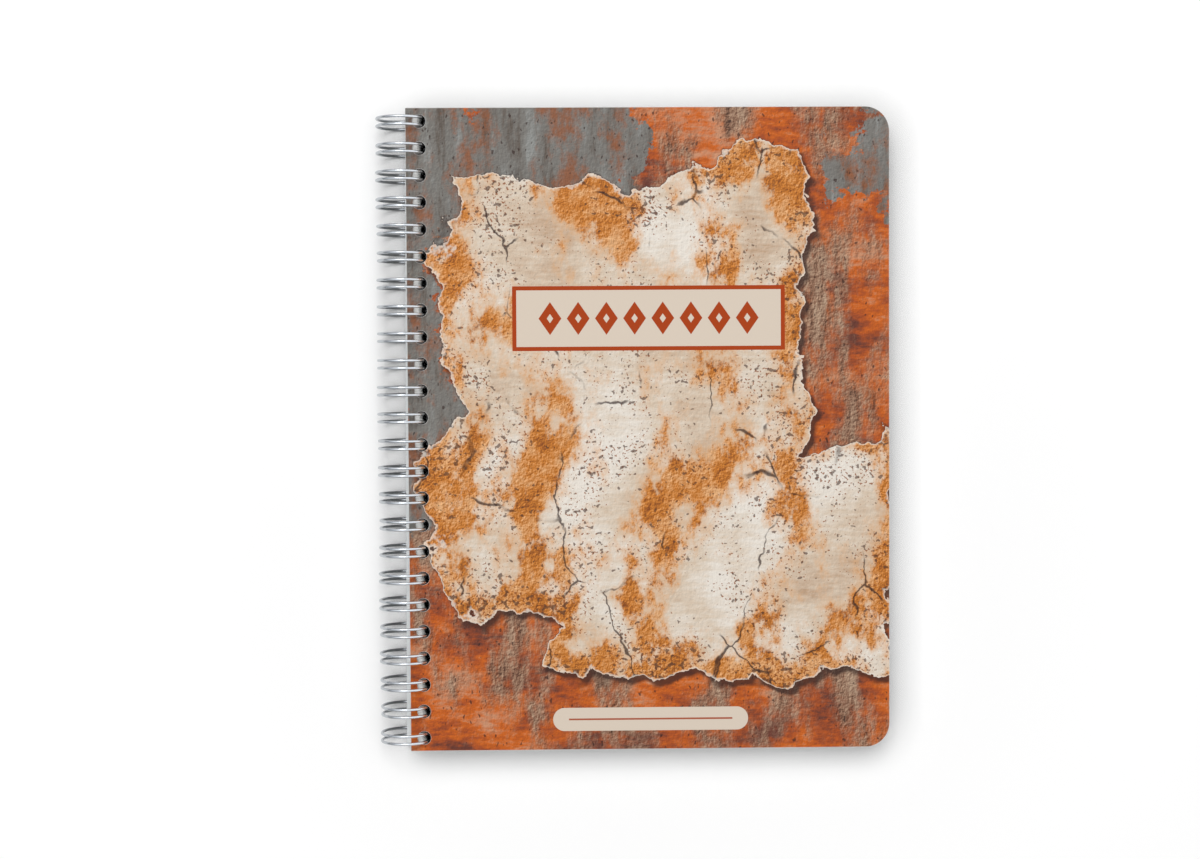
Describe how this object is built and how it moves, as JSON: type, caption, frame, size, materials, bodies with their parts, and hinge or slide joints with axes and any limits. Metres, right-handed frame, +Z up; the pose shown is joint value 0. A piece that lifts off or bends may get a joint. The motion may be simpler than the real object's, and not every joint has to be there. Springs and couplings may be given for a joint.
{
  "type": "wire-bound notebook",
  "caption": "Side-bound notebook with card covers and a block of pages held on a twin-loop wire, with rounded fore-edge corners.",
  "frame": {"origin": "on the table, under the middle of the whole notebook, with the wire included", "axes": "+X from the wire to the fore-edge, +Y up the page along the spine, +Z up out of the front cover"},
  "size_m": [0.1626, 0.2032, 0.0161],
  "materials": {
    "printed_card": "smooth card with an all-over printed field of worn cream, slate, ochre and rust colour, matt coated",
    "page_paper": "uncoated off-white paper",
    "backing_card": "stiff pale card, matt",
    "binding_wire": "bright drawn steel wire"
  },
  "bodies": {
    "bound_pages": {"page_block": "page_paper", "twin_loop_wire": "binding_wire"},
    "front": {"front_cover": "printed_card"},
    "back": {"back_cover": "backing_card"}
  },
  "joints": [
    {"name": "front_cover_turn", "type": "hinge", "parent": "bound_pages", "child": "front", "pos_m": [-0.07322, 0, 0.00805], "axis": [0, -1, 0], "range_deg": [0, 180]},
    {"name": "back_cover_turn", "type": "hinge", "parent": "bound_pages", "child": "back", "pos_m": [-0.07322, 0, 0.00805], "axis": [0, 1, 0], "range_deg": [0, 180]}
  ]
}
